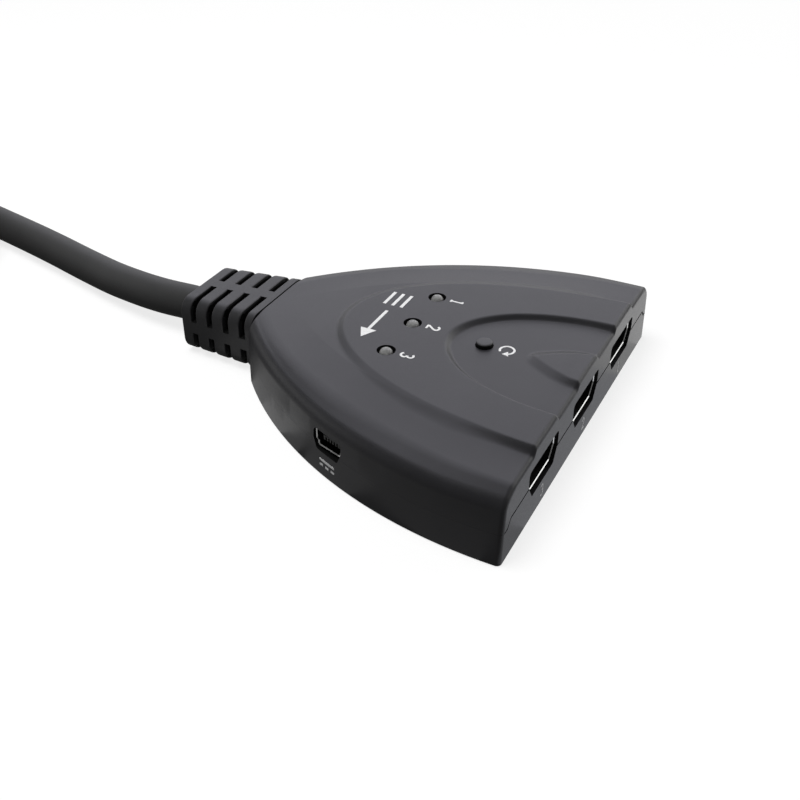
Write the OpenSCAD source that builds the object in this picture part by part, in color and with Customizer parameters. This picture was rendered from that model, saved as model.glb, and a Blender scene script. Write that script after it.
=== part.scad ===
// Three-input video switch box with a captive output lead.
// Frame: +Z up, sockets facing -Y, lead leaving +Y, power socket on the -X side.
// Origin: centre of the case's footprint (boot included), on the standing surface.

/* [Case] */
// Width of the case at its front face
case_w = 92.2; // [90:0.1:94]
// Radius of the two curved sides, seen from above
side_r = 102; // [98:0.5:108]
// Depth of the case from the front face to its back wall
case_len = 74.8; // [73:0.1:77]
// Height of the outer top surface
top_z = 15; // [14.6:0.1:15.4]
// Height of the raised arch band
band_z = 17; // [16.6:0.1:17.4]
// Height of the recessed inner arch
inner_z = 15.8; // [15.5:0.1:16.2]
// Thickness of the case walls
wall = 1.9; // [1.6:0.1:2.2]
// Radius between the sides and the top
top_round = 3.2; // [2:0.1:4]
// Radius of the two upright front corners
corner_r = 2.4; // [1:0.1:3.5]
// Height of the parting line along the sides
seam_side_z = 7.1; // [6.8:0.1:7.4]
// Height of the parting line across the front
seam_front_z = 8.7; // [8.2:0.1:9.2]

/* [Relief] */
// Half width of the outer arch
band_a = 30; // [28:0.5:32]
// Depth of the outer arch from the front
band_b = 56.2; // [54:0.1:58]
// Half width of the inner arch
inner_a = 19.2; // [18:0.1:21]
// Depth of the inner arch from the front
inner_b = 32.3; // [31:0.1:34]
// Half width of the small raised tongue at the front edge
nose_a = 5.6; // [4.5:0.1:7]
// Depth of the small raised tongue from the front
nose_b = 12.7; // [10:0.1:14]

/* [Sockets] */
// Spacing of the three video sockets
port_pitch = 24.8; // [24:0.1:26]
// Height of the video sockets' centre line
port_z = 9.06; // [8.9:0.02:9.3]
// How far the socket shells sit behind the front face
port_recess = 0.65; // [0.3:0.05:1.2]
// Distance of the power socket from the front, along the depth
power_y = 41.1; // [39.1:0.5:43.6]
// Height of the power socket's centre line
power_z = 8.7; // [8.65:0.01:8.75]
// How far the power socket is turned from square to the curved side, in degrees
power_yaw = 5; // [0:0.5:6]

/* [Controls] */
// Distance of the button from the front
button_y = 23.35; // [22.35:0.05:24.35]
// Radius of the button's cap
button_r = 1.85; // [1.75:0.05:2.0]
// Height of the button's top
button_top = 16.95; // [16.65:0.05:17.25]
// Spacing of the indicators
led_pitch = 12.7; // [12:0.1:13.5]
// Distance of the indicators from the front
led_y = 40.45; // [39:0.05:42]
// Radius of the indicators' domes
led_r = 1.5; // [1.3:0.05:1.6]

/* [Lead] */
// Diameter of the lead
cable_d = 8.7; // [8.5:0.1:8.7]
// Length of the strain relief boot
boot_len = 21.2; // [19:0.1:23]
// Half width of the boot where it meets the case
boot_w1 = 11.8; // [11.4:0.1:12.2]
// Half width of the boot where the lead leaves it
boot_w2 = 10.4; // [9.8:0.1:10.9]

/* [Hidden] */
total_len = case_len + boot_len;
yf = -total_len / 2;
half_w = case_w / 2;
side_cx = side_r - half_w;
arc_y = 0.85;
inner_r = side_r - 0.7 - wall;
ceil_z = top_z - 2;
floor_z = 1.8;
board_bot = 4.3;
board_top = 5.9;
board_y0 = 2.7;
board_y1 = 65.8;
back_y = case_len - 2;
jog_x = 42.1;
boss = [[-38, 9.5], [38, 9.5], [-17.5, 62], [17.5, 62]];
port_x = [port_pitch, 0, -port_pitch];
power_ang = asin((power_y - arc_y) / side_r);
lead_z = 6.8;
slot_z = 7.3;
charcoal = [0.2, 0.2, 0.21];
metal = [0.8, 0.8, 0.8];
gold = [0.83, 0.68, 0.32];

// Route of the lead from the boot to the coil, and from the coil to the plug.
route_out = [[0, 48, 6.8], [0, 53, 6.8], [0.2, 60, 6.4], [0.9, 66, 6], [2.1, 72, 5.5],
  [3.7, 79, 5], [5.3, 85, 4.7], [7.8, 94, 4.4], [10.4, 104, 4.4], [12.8, 114, 4.4],
  [15, 124, 4.4], [17, 134, 4.5], [19, 144, 4.75], [20.6, 152.5, 5], [21.9, 160, 5.15]];
route_in = [[-69.4, 168, 13.85], [-69.4, 160, 13.85], [-69.4, 152, 13.5], [-69.4, 144, 11.8],
  [-69.4, 136, 9], [-69.4, 129, 7], [-69.4, 123, 6.2], [-69.4, 118, 6.2]];
coil_c = [-23.4, 168];
coil_r = 46;
tie_t = 0.8;
plug_at = [-69.4, 118, 6.2];

// ---- shared shapes ----

module at_front() translate([0, yf, 0]) children();

// Points of a half ellipse standing on the front edge.
function arch_pts(a, b, n) = [for (i = [0:n]) [a * cos(180 * i / n), b * sin(180 * i / n)]];
module arch(a, b, z0, z1, n = 60) translate([0, 0, z0]) linear_extrude(z1 - z0) polygon(arch_pts(a, b, n));

// Section of a curved side, turned about that side's own centre.
function side_section() = concat(
  [[0, 0], [side_r - 0.6, 0], [side_r, 0.6], [side_r - 0.2, seam_side_z]],
  [for (i = [0:6]) [side_r - 0.7 - top_round + top_round * cos(15 * i), top_z - top_round + top_round * sin(15 * i)]],
  [[0, top_z]]);
module side_disc(s) translate([s * side_cx, arc_y, 0]) rotate_extrude($fn = 180) polygon(side_section());

// The whole outer form below the relief.
module fan() difference() {
  intersection() {
    side_disc(1);
    side_disc(-1);
    translate([-60, 0, -1]) cube([120, case_len, 30]);
  }
  for (s = [-1, 1]) difference() {
    translate([s * half_w - (s > 0 ? corner_r : 1), -1, -1]) cube([corner_r + 1, corner_r + 1, 30]);
    translate([s * (half_w - corner_r), corner_r, -2]) cylinder(r = corner_r, h = 32, $fn = 64);
  }
}

// Fan-shaped prism of a given side radius, between two depths.
module fan_prism(r, y0, y1, z0, z1) intersection() {
  translate([side_cx, arc_y, z0]) cylinder(r = r, h = z1 - z0, $fn = 180);
  translate([-side_cx, arc_y, z0]) cylinder(r = r, h = z1 - z0, $fn = 180);
  translate([-60, y0, z0 - 1]) cube([120, y1 - y0, z1 - z0 + 2]);
}

// Space of the lower cover: everything under the parting line.
module lower_zone() {
  translate([-60, -5, -5]) cube([120, case_len + 10, seam_side_z + 5]);
  translate([-jog_x, -5, 0]) cube([2 * jog_x, 5 + wall, seam_front_z]);
}

// Outline of a socket: w half width, t top, b bottom, s start of the taper, bw half width at the bottom.
function dee(w, t, b, s, bw) = [[-w, t - 0.3], [-w, s], [-bw, b], [bw, b], [w, s], [w, t - 0.3], [w - 0.3, t], [-w + 0.3, t]];
// Prism of an outline (drawn in X and Z) between two depths.
module prism_y(pts, y0, y1) translate([0, y1, 0]) rotate([90, 0, 0]) linear_extrude(y1 - y0) polygon(pts);

module port_cut(x) translate([x, 0, port_z]) prism_y(dee(7.9, 3.4, -3.6, -0.05, 5.75), -2, wall + 1);

module at_power() translate([side_cx, arc_y, power_z]) rotate([0, 0, -power_ang]) translate([-side_r, 0, 0]) rotate([0, 0, -90]) children();
module power_cut() at_power() prism_y(dee(4.42, 2.3, -2.8, -0.4, 3.35), -3, wall + 2.5);
// The power socket's own frame, turned about the middle of its mouth.
module in_power() at_power() translate([0, 0.9, 0]) rotate([0, 0, power_yaw]) translate([0, -0.9, 0]) children();
// Outline of the power socket: w half width, t top, b bottom, s height of the shoulder, bw half width below it.
function mini(w, t, b, s, bw) = [[-w, t - 0.3], [-w, s], [-bw, s - 0.4], [-bw, b + 0.2], [-bw + 0.2, b], [bw - 0.2, b],
  [bw, b + 0.2], [bw, s - 0.4], [w, s], [w, t - 0.3], [w - 0.3, t], [-w + 0.3, t]];

module neck_cut() translate([-8.1, back_y - 1, 2.1]) cube([16.2, 4, 9.4]);

module rod(p, q, r) {
  d = q - p;
  l = norm(d);
  translate(p) rotate([0, acos(d[2] / l), atan2(d[1], d[0])]) cylinder(r = r, h = l, $fn = 24);
}

// Round tube swept along a list of points.
function unit(v) = v / norm(v);
function dir_at(p, i) = unit(p[min(i + 1, len(p) - 1)] - p[max(i - 1, 0)]);
function ring(p, i, r, n) = let(t = dir_at(p, i), u = unit(cross([0, 0, 1], t)), v = cross(t, u))
  [for (k = [0:n - 1]) p[i] + r * (cos(360 * k / n) * u + sin(360 * k / n) * v)];
module tube(p, r, n = 12) {
  m = len(p);
  polyhedron(
    points = [for (i = [0:m - 1]) each ring(p, i, r, n)],
    faces = concat(
      [[for (k = [0:n - 1]) n - 1 - k]],
      [for (i = [0:m - 2]) for (k = [0:n - 1]) [i * n + k, i * n + (k + 1) % n, (i + 1) * n + (k + 1) % n]],
      [for (i = [0:m - 2]) for (k = [0:n - 1]) [i * n + k, (i + 1) * n + (k + 1) % n, (i + 1) * n + k]],
      [[for (k = [0:n - 1]) (m - 1) * n + k]]));
}

// ---- case ----

module top_cover() color(charcoal) at_front() difference() {
  union() {
    difference() {
      fan();
      lower_zone();
      fan_prism(inner_r, wall, back_y, -1, ceil_z);
    }
    difference() {
      arch(band_a, band_b, ceil_z, band_z);
      difference() {
        arch(inner_a, inner_b, inner_z, band_z + 1);
        arch(nose_a, nose_b, inner_z - 1, band_z + 2);
      }
    }
    for (b = boss) translate([b[0], b[1], board_top]) cylinder(r = 2.8, h = ceil_z + 0.5 - board_top, $fn = 48);
  }
  // hollow under the raised band
  difference() {
    arch(band_a - 2.2, band_b - 2.2, ceil_z - 1, band_z - 2);
    arch(inner_a + 2.2, inner_b + 2.2, ceil_z - 2, band_z);
    translate([-60, -1, ceil_z - 2]) cube([120, 1 + wall, 8]);
  }
  for (x = port_x) port_cut(x);
  power_cut();
  neck_cut();
  for (b = boss) translate([b[0], b[1], board_top - 1]) cylinder(r = 1.05, h = 7, $fn = 48);
  for (i = [-1:1]) translate([i * led_pitch, led_y, ceil_z - 1]) cylinder(r = led_r + 0.55, h = 8, $fn = 64);
  translate([0, button_y, ceil_z - 1]) cylinder(r = button_r + 0.15, h = 8, $fn = 64);
}

module bottom_cover() color(charcoal) at_front() difference() {
  union() {
    difference() {
      intersection() { fan(); lower_zone(); }
      fan_prism(inner_r, wall, back_y, floor_z, 20);
    }
    for (b = boss) translate([b[0], b[1], floor_z - 0.5]) cylinder(r = 2.8, h = board_bot - floor_z + 0.5, $fn = 48);
  }
  for (x = port_x) port_cut(x);
  power_cut();
  neck_cut();
  for (b = boss) {
    translate([b[0], b[1], -1]) cylinder(r = 2.4, h = 1 + floor_z, $fn = 48);
    translate([b[0], b[1], 0]) cylinder(r = 1.3, h = 8, $fn = 48);
  }
}

module case_screws() color(metal) at_front() for (b = boss) translate([b[0], b[1], 0]) difference() {
  union() {
    translate([0, 0, 0.4]) cylinder(r = 2.1, h = floor_z - 0.4, $fn = 48);
    translate([0, 0, floor_z - 0.1]) cylinder(r = 1.1, h = 9.6, $fn = 48);
  }
  translate([-1.3, -0.25, 0]) cube([2.6, 0.5, 1.2]);
  translate([-0.25, -1.3, 0]) cube([0.5, 2.6, 1.2]);
}

// ---- electronics ----

module main_board() color([0.05, 0.3, 0.15]) at_front() difference() {
  fan_prism(inner_r - 1, board_y0, board_y1, board_bot, board_top);
  for (b = boss) translate([b[0], b[1], board_bot - 1]) cylinder(r = 1.3, h = 4, $fn = 48);
}

module switch_chip() color([0.08, 0.08, 0.08]) at_front() translate([16, 26, board_top + 0.1]) difference() {
  translate([-5, -5, 0]) cube([10, 10, 1.4]);
  translate([-3.8, 3.8, 1.3]) cylinder(r = 0.5, h = 1, $fn = 32);
}

module chip_leads() color(metal) at_front() translate([16, 26, board_top]) for (q = [0:3]) rotate([0, 0, 90 * q])
  for (i = [-7:7]) translate([i * 0.6 - 0.12, 5, 0]) cube([0.24, 1.1, 0.7]);

module regulator() color([0.1, 0.1, 0.1]) at_front() translate([-22, 28, board_top]) {
  translate([-3.2, -1.75, 0.1]) cube([6.4, 3.5, 1.6]);
  translate([-1.5, 1.75, 0]) cube([3, 1.7, 0.4]);
  for (i = [-1:1]) translate([i * 2.3 - 0.4, -3.4, 0]) cube([0.8, 1.65, 0.4]);
}

module crystal() color(metal) at_front() translate([4.5, 31.5, board_top]) {
  translate([0, 0, 0.2]) linear_extrude(2.8) union() {
    square([4, 3.6], center = true);
    for (s = [-2, 2]) translate([s, 0]) circle(r = 1.8, $fn = 48);
  }
  translate([-4.6, -2.1, 0]) cube([9.2, 4.2, 0.2]);
}

module board_passives() color([0.55, 0.45, 0.35]) at_front() {
  for (i = [0:7]) translate([-9.5 + 2.7 * i, 52, board_top]) cube([1.6, 0.8, 0.7]);
  for (i = [0:5]) translate([24, 20 + 2.4 * i, board_top]) cube([0.8, 1.6, 0.7]);
  for (i = [0:4]) translate([-11, 18 + 2.4 * i, board_top]) cube([0.8, 1.6, 0.7]);
  for (i = [0:1]) translate([-26 + 8 * i, 34.5, board_top]) cube([3.2, 1.6, 1.6]);
}

module indicator_leds() color([0.75, 0.75, 0.75]) at_front() for (i = [-1:1]) translate([i * led_pitch, led_y, 0])
  rotate_extrude($fn = 64) polygon(concat(
    [[0, 11], [led_r + 0.4, 11], [led_r + 0.4, 12], [led_r, 12]],
    [for (k = [0:9]) [led_r * cos(10 * k), band_z + 0.55 - led_r + led_r * sin(10 * k)]]));

module led_leads() color(metal) at_front() for (i = [-1:1]) for (s = [-1, 1])
  translate([i * led_pitch + s * 1.27 - 0.25, led_y - 0.25, board_top]) cube([0.5, 0.5, 11 - board_top]);

module tact_base() color([0.1, 0.1, 0.1]) at_front() translate([0, button_y, board_top]) difference() {
  translate([-3, -3, 0]) cube([6, 6, 3.2]);
  translate([0, 0, 0.8]) cylinder(r = 2.3, h = 4, $fn = 48);
}

module tact_frame() color(metal) at_front() translate([0, button_y, board_top + 3.2]) difference() {
  union() {
    translate([-3, -3, 0]) cube([6, 6, 0.3]);
    for (s = [-1, 1]) translate([s > 0 ? 3 : -3.3, -2.6, -3.2]) cube([0.3, 5.2, 3.5]);
  }
  translate([0, 0, -1]) cylinder(r = 1.85, h = 3, $fn = 48);
}

module tact_dome() color(metal) at_front() translate([0, button_y, board_top + 0.8]) difference() {
  intersection() {
    cylinder(r = 2.2, h = 0.75, $fn = 48);
    translate([0, 0, -3.5]) sphere(r = 4.2, $fn = 64);
  }
  translate([0, 0, -3.5]) sphere(r = 4.05, $fn = 64);
}

module tact_plunger() color([0.12, 0.12, 0.12]) at_front() translate([0, button_y, 0]) {
  translate([0, 0, board_top + 1.55]) cylinder(r = 1.7, h = 2.75, $fn = 48);
  translate([0, 0, board_top + 1.55]) cylinder(r = 2.1, h = 0.7, $fn = 48);
}

module select_button() color([0.22, 0.22, 0.23]) at_front() translate([0, button_y, 0]) {
  translate([0, 0, board_top + 4.3]) cylinder(r = 1.4, h = 2, $fn = 48);
  translate([0, 0, ceil_z - 1.1]) cylinder(r = 3.1, h = 1, $fn = 64);
  translate([0, 0, ceil_z - 0.2]) cylinder(r = button_r, h = button_top - ceil_z + 0.2, $fn = 64);
}

// ---- sockets ----

module input_shell(x) color(metal) at_front() translate([x, 0, port_z]) {
  difference() {
    prism_y(dee(7.35, 2.625, -2.625, 0.05, 5.15), port_recess, 12);
    prism_y(dee(7, 2.275, -2.275, 0.2, 4.95), 0, 13);
    for (s = [-1, 1]) translate([s * 3.2 - 0.9, 3, 1.5]) cube([1.8, 5, 2]);
  }
  for (s = [-1, 1]) for (y = [3.4, 9]) translate([s > 0 ? 6.85 : -7.25, y, board_top - port_z]) cube([0.4, 1.4, port_z - board_top + 0.05]);
}
module input_shell_1() input_shell(port_x[0]);
module input_shell_2() input_shell(port_x[1]);
module input_shell_3() input_shell(port_x[2]);

module input_tongue(x) color([0.06, 0.06, 0.06]) at_front() translate([x, 0, port_z]) {
  prism_y(dee(6.95, 2.225, -2.225, 0.2, 4.9), 9.6, 12);
  translate([-5.8, 2.4, -0.8]) cube([11.6, 7.3, 1.9]);
}
module input_tongue_1() input_tongue(port_x[0]);
module input_tongue_2() input_tongue(port_x[1]);
module input_tongue_3() input_tongue(port_x[2]);

module input_contacts(x) color(gold) at_front() translate([x, 0, port_z]) {
  for (i = [0:9]) translate([-4.5 + i - 0.22, 2.8, 1.1]) cube([0.44, 6.7, 0.12]);
  for (i = [0:8]) translate([-4 + i - 0.22, 2.8, -0.92]) cube([0.44, 6.7, 0.12]);
  for (i = [0:18]) translate([-4.5 + 0.5 * i - 0.12, 12, board_top - port_z]) cube([0.24, 1.1, 0.25]);
}
module input_contacts_1() input_contacts(port_x[0]);
module input_contacts_2() input_contacts(port_x[1]);
module input_contacts_3() input_contacts(port_x[2]);

module power_shell() color(metal) at_front() in_power() {
  difference() {
    prism_y(mini(3.85, 1.98, -1.98, -0.55, 3.3), 0.9, 9.4);
    prism_y(mini(3.55, 1.68, -1.68, -0.45, 3), 0, 8.9);
  }
  for (s = [-1, 1]) for (y = [4.4, 7.4]) translate([s > 0 ? 3.55 : -3.85, y, board_top - power_z]) cube([0.3, 1.2, power_z - board_top + 0.2]);
}

module power_insulator() color([0.06, 0.06, 0.06]) at_front() in_power() {
  translate([-2.5, 1.6, -0.7]) cube([5, 5.9, 1.3]);
  prism_y(mini(3.5, 1.63, -1.63, -0.4, 2.95), 7.4, 8.9);
}

module power_contacts() color(gold) at_front() in_power() {
  for (i = [-2:2]) translate([0.8 * i - 0.2, 2, -0.82]) cube([0.4, 5.4, 0.12]);
  for (i = [-2:2]) translate([0.8 * i - 0.2, 9.4, board_top - power_z]) cube([0.4, 1.2, 0.2]);
}

// ---- lead ----

// Rounded rectangle standing in X and Z, a thin slice of the boot.
module slice(w, z0, z1, r) for (x = [-w + r, w - r]) for (z = [z0 + r, z1 - r])
  translate([x, 0, z]) rotate([-90, 0, 0]) cylinder(r = r, h = 0.02, $fn = 32);

module strain_relief_boot() color([0.19, 0.19, 0.19]) at_front() difference() {
  union() {
    hull() {
      translate([0, case_len, 0]) slice(boot_w1, 0.4, 14.9, 3.3);
      translate([0, total_len - 0.02, 0]) slice(boot_w2, 0.35, 13.8, 3.3);
    }
    translate([-8, back_y - 0.2, 2.2]) cube([16, 2.4, 9.2]);
    translate([-10, back_y - 2.3, 2.2]) cube([20, 2.2, 9.2]);
  }
  for (i = [0:3]) translate([0, case_len + 2.7 + 4.7 * i, slot_z]) for (a = [-1, 1]) for (b = [-1, 1]) difference() {
    translate([a > 0 ? 1.55 : -16.55, 0, b > 0 ? 1.5 : -11.5]) cube([15, 1.5, 10]);
    translate([-5.3, -1, -5.3]) cube([10.6, 4, 9.6]);
  }
  translate([0, 0, lead_z]) rotate([-90, 0, 0]) cylinder(r = cable_d / 2, h = 200, $fn = 64);
}

module cable_core() color([0.1, 0.1, 0.1]) at_front() translate([0, board_y1 + 0.7, lead_z]) rotate([-90, 0, 0])
  cylinder(r = cable_d / 2, h = total_len - board_y1 - 0.7, $fn = 64);

module inner_wires() color([0.7, 0.3, 0.2]) at_front() for (i = [0:7])
  rod([-2.8 + 0.8 * i, board_y1 + 0.6, lead_z], [-9.8 + 2.8 * i, 60, board_top + 0.55], 0.3);

module cable_run() color([0.1, 0.1, 0.1]) tube(route_out, cable_d / 2);

module cable_coil() color([0.1, 0.1, 0.1]) translate([coil_c[0], coil_c[1], tie_t]) rotate_extrude($fn = 120)
  polygon([for (p = [[-4.35, 1.6], [-2.7, 0], [2.7, 0], [4.35, 1.6], [4.35, 15.8], [2.7, 17.4], [-2.7, 17.4], [-4.35, 15.8]]) [coil_r + p[0], p[1]]]);

module cable_tail() color([0.1, 0.1, 0.1]) tube(route_in, cable_d / 2);

module coil_tie() color([0.08, 0.08, 0.08]) translate([coil_c[0], coil_c[1] + coil_r, 0]) difference() {
  translate([-6, -5.65, 0]) cube([12, 11.3, 19]);
  translate([-7, -4.85, tie_t]) cube([14, 9.7, 17.4]);
}

// ---- plug on the lead's end ----

module at_plug() translate(plug_at) rotate([0, 0, 180]) children();

module plug_boot() color([0.12, 0.12, 0.12]) at_plug() rotate([-90, 0, 0]) rotate_extrude($fn = 64)
  polygon(concat([[0, 0]],
    [for (i = [0:3]) each [[5 + 0.2 * i, 4 * i], [5 + 0.2 * i, 4 * i + 2.4], [4.6, 4 * i + 2.4], [4.6, 4 * i + 4]]],
    [[0, 16]]));

function round_rect(w, h, r) = [for (c = [[w - r, h - r, 0], [-w + r, h - r, 90], [-w + r, -h + r, 180], [w - r, -h + r, 270]])
  for (i = [0:4]) [c[0] + r * cos(c[2] + 22.5 * i), c[1] + r * sin(c[2] + 22.5 * i)]];

module plug_housing() color([0.14, 0.14, 0.14]) at_plug() {
  prism_y(round_rect(10.2, 5.8, 2.4), 16, 40);
  prism_y(round_rect(9.2, 4.8, 1.8), 40, 42);
}

module plug_shell() color(metal) at_plug() difference() {
  prism_y(dee(6.95, 2.225, -2.225, 0.2, 4.9), 42, 53.5);
  prism_y(dee(6.65, 1.925, -1.925, 0.3, 4.75), 41, 54);
}

module plug_insert() color([0.06, 0.06, 0.06]) at_plug() difference() {
  prism_y(dee(6.6, 1.875, -1.875, 0.3, 4.7), 42, 52.6);
  translate([-6, 44.5, -1]) cube([12, 10, 2.2]);
}

module plug_contacts() color(gold) at_plug() {
  for (i = [0:9]) translate([-4.5 + i - 0.2, 44.5, 1.08]) cube([0.4, 7.6, 0.12]);
  for (i = [0:8]) translate([-4 + i - 0.2, 44.5, -1]) cube([0.4, 7.6, 0.12]);
}

top_cover();
bottom_cover();
case_screws();
main_board();
switch_chip();
chip_leads();
regulator();
crystal();
board_passives();
indicator_leds();
led_leads();
tact_base();
tact_frame();
tact_dome();
tact_plunger();
select_button();
input_shell_1();
input_shell_2();
input_shell_3();
input_tongue_1();
input_tongue_2();
input_tongue_3();
input_contacts_1();
input_contacts_2();
input_contacts_3();
power_shell();
power_insulator();
power_contacts();
strain_relief_boot();
cable_core();
inner_wires();
cable_run();
cable_coil();
cable_tail();
coil_tie();
plug_boot();
plug_housing();
plug_shell();
plug_insert();
plug_contacts();
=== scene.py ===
"""Looks of a three-input video switch box: moulded case, boot, sockets, controls, lead and plug."""

import math

import bmesh
import bpy
import numpy as np
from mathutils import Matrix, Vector


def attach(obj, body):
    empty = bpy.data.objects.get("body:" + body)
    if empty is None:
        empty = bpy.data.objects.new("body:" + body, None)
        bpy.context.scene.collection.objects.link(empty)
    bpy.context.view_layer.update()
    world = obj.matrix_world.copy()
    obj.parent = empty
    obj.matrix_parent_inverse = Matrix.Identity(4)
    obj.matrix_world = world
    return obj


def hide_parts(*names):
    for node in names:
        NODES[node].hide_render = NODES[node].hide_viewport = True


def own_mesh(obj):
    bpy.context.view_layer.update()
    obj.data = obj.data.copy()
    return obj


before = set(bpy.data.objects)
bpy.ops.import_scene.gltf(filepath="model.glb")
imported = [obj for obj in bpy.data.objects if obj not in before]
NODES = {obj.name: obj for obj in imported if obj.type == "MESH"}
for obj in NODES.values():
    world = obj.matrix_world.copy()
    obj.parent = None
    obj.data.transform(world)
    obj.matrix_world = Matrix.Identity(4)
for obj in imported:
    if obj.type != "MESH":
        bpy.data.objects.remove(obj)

MM = 0.001
FRONT = -48.0  # the front face's Y, in millimetres
scene = bpy.context.scene
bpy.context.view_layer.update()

# ------------------------------------------------------------------ camera

cam_data = bpy.data.cameras.new("camera")
cam = bpy.data.objects.new("camera", cam_data)
scene.collection.objects.link(cam)
cam.location = (-0.18389, -0.09699, 0.13743)
cam.rotation_euler = (math.radians(55.40), 0.0, math.radians(-63.279))
cam_data.sensor_width = 36.0
cam_data.lens = 48.548
cam_data.clip_start = 0.005
cam_data.clip_end = 50.0
scene.camera = cam

# ------------------------------------------------------------------ mesh helpers


def new_object(name, mesh):
    obj = bpy.data.objects.new(name, mesh)
    scene.collection.objects.link(obj)
    return obj


def mesh_object(name, verts, faces):
    """A mesh from points in millimetres, with its faces turned outwards."""
    me = bpy.data.meshes.new(name)
    me.from_pydata((np.asarray(verts, float) * MM).tolist(), [], faces)
    me.update()
    bm = bmesh.new()
    bm.from_mesh(me)
    bmesh.ops.recalc_face_normals(bm, faces=bm.faces)
    bm.to_mesh(me)
    bm.free()
    return new_object(name, me)


def loft_data(rings, around=True, caps=True, start=0):
    """Points and faces of a skin through rings of equal length."""
    rings = np.asarray(rings, float)
    m, n, _ = rings.shape
    faces = []
    span = n if around else n - 1
    for i in range(m - 1):
        a, b = start + i * n, start + (i + 1) * n
        for j in range(span):
            k = (j + 1) % n
            faces.append((a + j, a + k, b + k, b + j))
    if caps:
        faces.append(tuple(start + j for j in reversed(range(n))))
        faces.append(tuple(start + (m - 1) * n + j for j in range(n)))
    return rings.reshape(-1, 3), faces


def loft(name, rings, caps=True):
    v, f = loft_data(rings, caps=caps)
    return mesh_object(name, v, f)


def ring_loop(name, rings):
    """A closed skin whose last ring joins its first, such as a frame or a tube with a wall."""
    rings = np.asarray(rings, float)
    m, n, _ = rings.shape
    faces = []
    for i in range(m):
        a, b = i * n, ((i + 1) % m) * n
        for j in range(n):
            k = (j + 1) % n
            faces.append((a + j, a + k, b + k, b + j))
    return mesh_object(name, rings.reshape(-1, 3), faces)


def join_meshes(name, objs):
    """One object of several closed meshes."""
    bm = bmesh.new()
    for o in objs:
        bm.from_mesh(o.data)
    me = bpy.data.meshes.new(name)
    bm.to_mesh(me)
    bm.free()
    for o in objs:
        drop(o)
    return new_object(name, me)


def drop(obj):
    me = obj.data
    bpy.data.objects.remove(obj)
    if me.users == 0:
        bpy.data.meshes.remove(me)


def boolean(obj, other, operation, keep=False):
    mod = obj.modifiers.new("cut", "BOOLEAN")
    mod.operation = operation
    mod.solver = "MANIFOLD"
    mod.object = other
    bpy.context.view_layer.update()
    dg = bpy.context.evaluated_depsgraph_get()
    me = bpy.data.meshes.new_from_object(obj.evaluated_get(dg))
    obj.modifiers.clear()
    old = obj.data
    obj.data = me
    me.name = obj.name
    if old.users == 0:
        bpy.data.meshes.remove(old)
    if not keep:
        drop(other)
    return obj


def copy_of(obj, name):
    return new_object(name, obj.data.copy())


def finish_mesh(obj, angle=32, weighted=True):
    """Smooth shading with sharp edges above an angle, and normals that keep flats flat."""
    me = obj.data
    me.polygons.foreach_set("use_smooth", [True] * len(me.polygons))
    me.set_sharp_from_angle(angle=math.radians(angle))
    if weighted:
        mod = obj.modifiers.new("normals", "WEIGHTED_NORMAL")
        mod.mode = "FACE_AREA"
        mod.weight = 50
        mod.keep_sharp = True
        bpy.context.view_layer.update()
        dg = bpy.context.evaluated_depsgraph_get()
        new = bpy.data.meshes.new_from_object(obj.evaluated_get(dg))
        obj.modifiers.clear()
        obj.data = new
        bpy.data.meshes.remove(me)
        new.name = obj.name
    return obj


def fillet(points, radii, seg=6):
    """A closed outline with its corners rounded."""
    pts = [np.array(p, float) for p in points]
    out = []
    for i, p in enumerate(pts):
        a, b = pts[i - 1], pts[(i + 1) % len(pts)]
        u, v = a - p, b - p
        lu, lv = np.linalg.norm(u), np.linalg.norm(v)
        u, v = u / lu, v / lv
        ang = math.acos(max(-1.0, min(1.0, float(u @ v))))
        r = radii[i] if hasattr(radii, "__len__") else radii
        cut = min(r / math.tan(ang / 2), 0.48 * lu, 0.48 * lv)
        r = cut * math.tan(ang / 2)
        c = p + (u + v) / np.linalg.norm(u + v) * (r / math.sin(ang / 2))
        s, e = p + u * cut - c, p + v * cut - c
        turn = math.acos(max(-1.0, min(1.0, float(s @ e) / (r * r))))
        for k in range(seg + 1):
            t = k / seg
            q = (s * math.sin((1 - t) * turn) + e * math.sin(t * turn)) / math.sin(turn)
            out.append(c + q)
    return np.array(out)


def dee(w, t, b, s, bw):
    """Outline of a socket: half width, top, bottom, start of the taper, half width at the bottom."""
    return [(-w, t), (-w, s), (-bw, b), (bw, b), (w, s), (w, t)]


def at_front(p):
    p = np.array(p, float)
    p[..., 1] += FRONT
    return p


def xz_ring(outline, y):
    o = np.asarray(outline, float)
    return np.column_stack([o[:, 0], np.full(len(o), float(y)), o[:, 1]])


def prism(name, outline, y0, y1, place=at_front):
    return loft(name, [place(xz_ring(outline, y0)), place(xz_ring(outline, y1))])


def lathe(profile, centre, seg=64):
    """Closed body of revolution about an upright axis: profile is (radius, height) from the bottom's middle to the top's."""
    cx, cy = centre
    verts, faces = [], []
    inner = [p for p in profile if p[0] > 1e-6]
    for r, z in inner:
        for j in range(seg):
            a = 2 * math.pi * j / seg
            verts.append((cx + r * math.cos(a), cy + r * math.sin(a), z))
    m = len(inner)
    for i in range(m - 1):
        for j in range(seg):
            k = (j + 1) % seg
            faces.append((i * seg + j, i * seg + k, (i + 1) * seg + k, (i + 1) * seg + j))
    lo, hi = len(verts), len(verts) + 1
    verts += [(cx, cy, profile[0][1]), (cx, cy, profile[-1][1])]
    for j in range(seg):
        k = (j + 1) % seg
        faces.append((lo, k, j))
        faces.append((hi, (m - 1) * seg + j, (m - 1) * seg + k))
    return verts, faces


def cylinder(name, centre, r, z0, z1, seg=64):
    v, f = lathe([(0, z0), (r, z0), (r, z1), (0, z1)], centre, seg)
    return mesh_object(name, v, f)


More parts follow.
